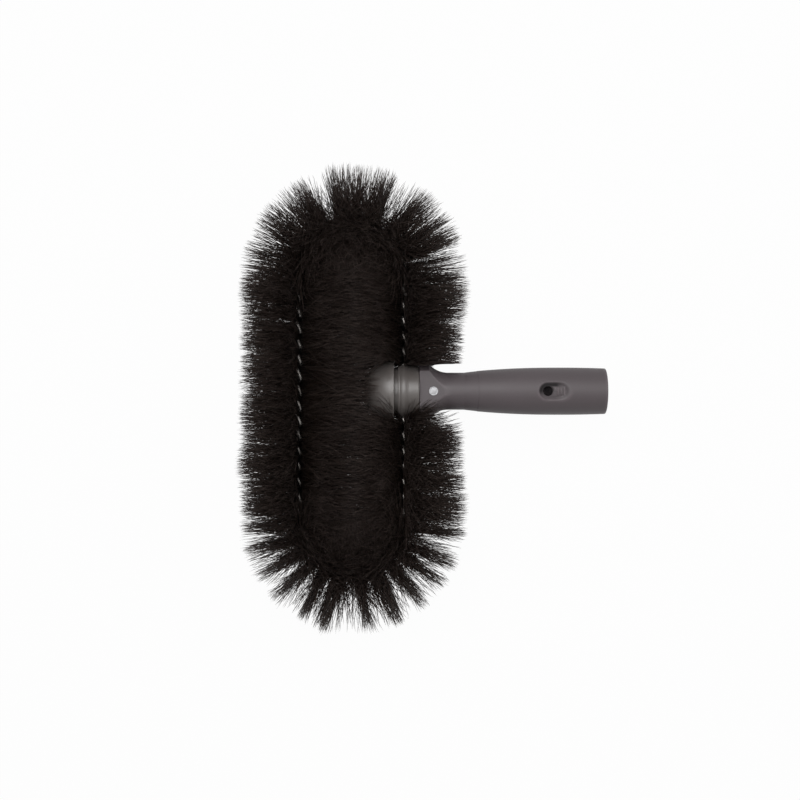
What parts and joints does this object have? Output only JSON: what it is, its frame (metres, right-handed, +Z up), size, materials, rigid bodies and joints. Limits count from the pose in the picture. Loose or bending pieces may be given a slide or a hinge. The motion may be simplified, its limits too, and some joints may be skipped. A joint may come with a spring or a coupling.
{
  "type": "cobweb brush head",
  "caption": "Looped twisted-wire brush for cobwebs and walls, its stiff bristles set round a hub with a hollow socket that locks onto an extension pole.",
  "frame": {"origin": "centre of the pole socket's mouth, on the socket's axis", "axes": "+X out of the socket, the way the pole leaves; +Y along the long side of the bristle loop; +Z up from the surface that the brush lies on, through the side with the lock hole"},
  "size_m": [0.2739, 0.346, 0.0885],
  "materials": {
    "handle_plastic": "dark grey satin moulding",
    "hub_plastic": "dark grey satin moulding",
    "badge_silver": "polished plate",
    "fastener_steel": "zinc plated",
    "wire_steel": "galvanised wire",
    "bristle_fibre": "black synthetic bristle"
  },
  "bodies": {
    "root": {"socket_handle": "handle_plastic", "badge": "badge_silver", "collar_front_half": "hub_plastic", "collar_rear_half": "hub_plastic", "nose_cap": "hub_plastic", "hub_screw": "fastener_steel", "hub_washer": "fastener_steel", "upper_ferrule": "fastener_steel", "lower_ferrule": "fastener_steel", "wire_strand_a": "wire_steel", "wire_strand_b": "wire_steel", "bristles_right_upper": "bristle_fibre", "bristles_top_bend": "bristle_fibre", "bristles_left_run": "bristle_fibre", "bristles_bottom_bend": "bristle_fibre", "bristles_right_lower": "bristle_fibre"}
  },
  "joints": []
}
